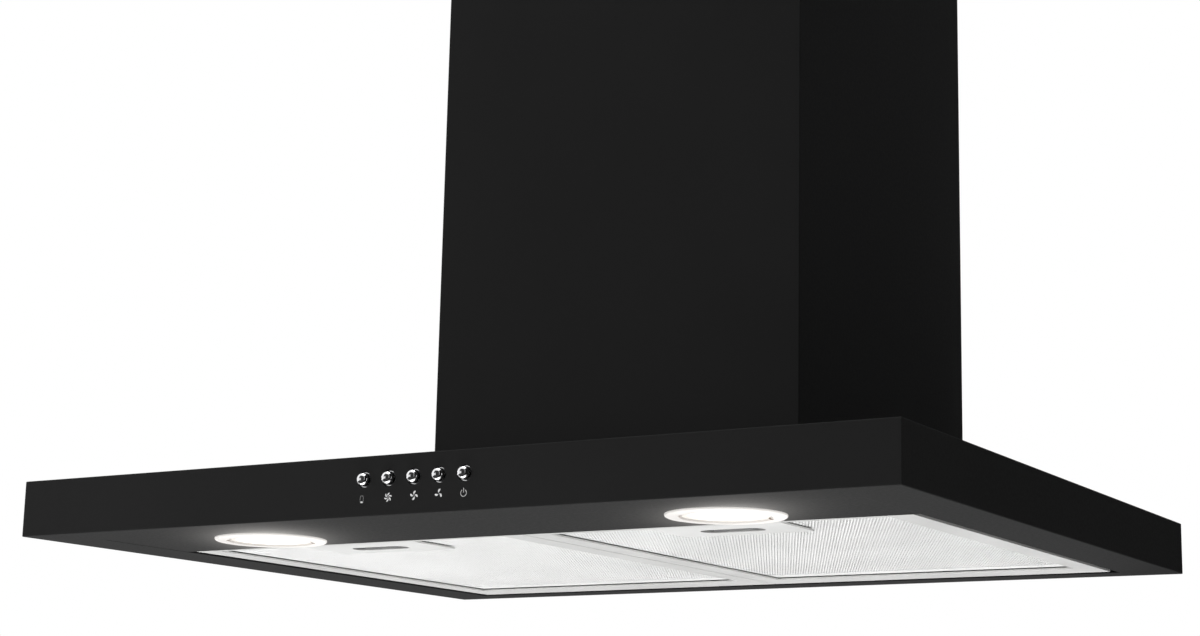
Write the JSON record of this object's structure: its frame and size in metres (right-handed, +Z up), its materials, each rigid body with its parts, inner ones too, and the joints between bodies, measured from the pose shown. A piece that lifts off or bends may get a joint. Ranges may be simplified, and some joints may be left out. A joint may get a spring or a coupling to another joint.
{
  "type": "chimney range hood",
  "caption": "Wall mounted T shaped range hood: flat canopy with lamps, push buttons and tilting grease filters, fan in a blower box, telescopic square chimney.",
  "frame": {"origin": "middle of the canopy's rear bottom edge, where its underside meets the wall", "axes": "+X to the viewer's right along the wall, +Y into the wall, +Z up"},
  "size_m": [0.6, 0.4945, 0.6216],
  "materials": {
    "blower_box": "satin",
    "button": "polished",
    "cable_gland": "plain",
    "canopy_shell": "satin",
    "capacitor": "plain",
    "capacitor_clip": "plain",
    "chimney_lower": "satin",
    "chimney_upper": "satin",
    "damper_flap": "plain",
    "filter_core": "expanded",
    "filter_frame": "satin",
    "filter_handle": "satin",
    "filter_latch": "plain",
    "filter_mesh": "expanded",
    "flap_pin": "plain",
    "impeller": "plain",
    "impeller_nut": "plain",
    "lamp_bezel": "satin",
    "lamp_body": "cast",
    "lamp_clips": "plain",
    "lamp_lens": "gloss",
    "lamp_panel": "satin",
    "latch_spring": "plain",
    "led_driver": "plain",
    "motor_bracket": "satin",
    "motor_bushes": "plain",
    "motor_housing": "cast",
    "motor_shaft": "ground",
    "outlet_collar": "plain",
    "scroll": "plain",
    "switch_housing": "plain",
    "terminal_block": "plain",
    "terminal_box": "plain",
    "terminal_lid": "plain",
    "wall_bracket": "satin"
  },
  "bodies": {
    "hood": {"blower_box": "blower_box", "cable_gland": "cable_gland", "canopy_shell": "canopy_shell", "capacitor": "capacitor", "capacitor_clip": "capacitor_clip", "chimney_lower": "chimney_lower", "flap_pin": "flap_pin", "lamp_bezel_left": "lamp_bezel", "lamp_bezel_right": "lamp_bezel", "lamp_body_left": "lamp_body", "lamp_body_right": "lamp_body", "lamp_clips": "lamp_clips", "lamp_lens_left": "lamp_lens", "lamp_lens_right": "lamp_lens", "lamp_panel": "lamp_panel", "led_driver": "led_driver", "motor_bracket": "motor_bracket", "motor_bushes": "motor_bushes", "motor_housing": "motor_housing", "outlet_collar": "outlet_collar", "scroll_left": "scroll", "scroll_right": "scroll", "switch_housing": "switch_housing", "terminal_block": "terminal_block", "terminal_box": "terminal_box", "terminal_lid": "terminal_lid"},
    "button_light": {"button_light": "button"},
    "button_speed_high": {"button_speed_high": "button"},
    "button_speed_medium": {"button_speed_medium": "button"},
    "button_speed_low": {"button_speed_low": "button"},
    "button_power": {"button_power": "button"},
    "filter_left": {"filter_frame_left": "filter_frame", "filter_mesh_left": "filter_mesh", "filter_core_left": "filter_core", "filter_handle_left": "filter_handle", "latch_spring_left": "latch_spring"},
    "latch_left": {"filter_latch_left": "filter_latch"},
    "filter_right": {"filter_frame_right": "filter_frame", "filter_mesh_right": "filter_mesh", "filter_core_right": "filter_core", "filter_handle_right": "filter_handle", "latch_spring_right": "latch_spring"},
    "latch_right": {"filter_latch_right": "filter_latch"},
    "fan_wheel": {"impeller": "impeller", "motor_shaft": "motor_shaft", "impeller_nut": "impeller_nut"},
    "flap_front": {"damper_flap_front": "damper_flap"},
    "flap_rear": {"damper_flap_rear": "damper_flap"},
    "upper_chimney": {"chimney_upper": "chimney_upper", "wall_bracket": "wall_bracket"}
  },
  "joints": [
    {"name": "button_light_press", "type": "slide", "parent": "hood", "child": "button_light", "axis": [0, 1, 0], "range_m": [0, 0.003], "stiffness_N_per_m": 300, "springref_m": -0.002},
    {"name": "button_speed_high_press", "type": "slide", "parent": "hood", "child": "button_speed_high", "axis": [0, 1, 0], "range_m": [0, 0.003], "stiffness_N_per_m": 300, "springref_m": -0.002},
    {"name": "button_speed_medium_press", "type": "slide", "parent": "hood", "child": "button_speed_medium", "axis": [0, 1, 0], "range_m": [0, 0.003], "stiffness_N_per_m": 300, "springref_m": -0.002},
    {"name": "button_speed_low_press", "type": "slide", "parent": "hood", "child": "button_speed_low", "axis": [0, 1, 0], "range_m": [0, 0.003], "stiffness_N_per_m": 300, "springref_m": -0.002},
    {"name": "button_power_press", "type": "slide", "parent": "hood", "child": "button_power", "axis": [0, 1, 0], "range_m": [0, 0.003], "stiffness_N_per_m": 300, "springref_m": -0.002},
    {"name": "filter_left_tilt", "type": "hinge", "parent": "hood", "child": "filter_left", "pos_m": [0, -0.025, 0.0017], "axis": [1, 0, 0], "range_deg": [0, 75]},
    {"name": "latch_left_slide", "type": "slide", "parent": "filter_left", "child": "latch_left", "axis": [0, 1, 0], "range_m": [0, 0.005], "stiffness_N_per_m": 400, "springref_m": -0.004, "deforming": ["latch_spring_left"]},
    {"name": "filter_right_tilt", "type": "hinge", "parent": "hood", "child": "filter_right", "pos_m": [0, -0.025, 0.0017], "axis": [1, 0, 0], "range_deg": [0, 75]},
    {"name": "latch_right_slide", "type": "slide", "parent": "filter_right", "child": "latch_right", "axis": [0, 1, 0], "range_m": [0, 0.005], "stiffness_N_per_m": 400, "springref_m": -0.004, "deforming": ["latch_spring_right"]},
    {"name": "fan_spin", "type": "hinge", "parent": "hood", "child": "fan_wheel", "pos_m": [0, -0.104, 0.158], "axis": [1, 0, 0], "continuous": true},
    {"name": "flap_front_swing", "type": "hinge", "parent": "hood", "child": "flap_front", "pos_m": [0, -0.182, 0.3475], "axis": [-1, 0, 0], "range_deg": [0, 75]},
    {"name": "flap_rear_swing", "type": "hinge", "parent": "hood", "child": "flap_rear", "pos_m": [0, -0.182, 0.3475], "axis": [1, 0, 0], "range_deg": [0, 75]},
    {"name": "chimney_telescope", "type": "slide", "parent": "hood", "child": "upper_chimney", "axis": [0, 0, 1], "range_m": [-0.125, 0.295]}
  ]
}
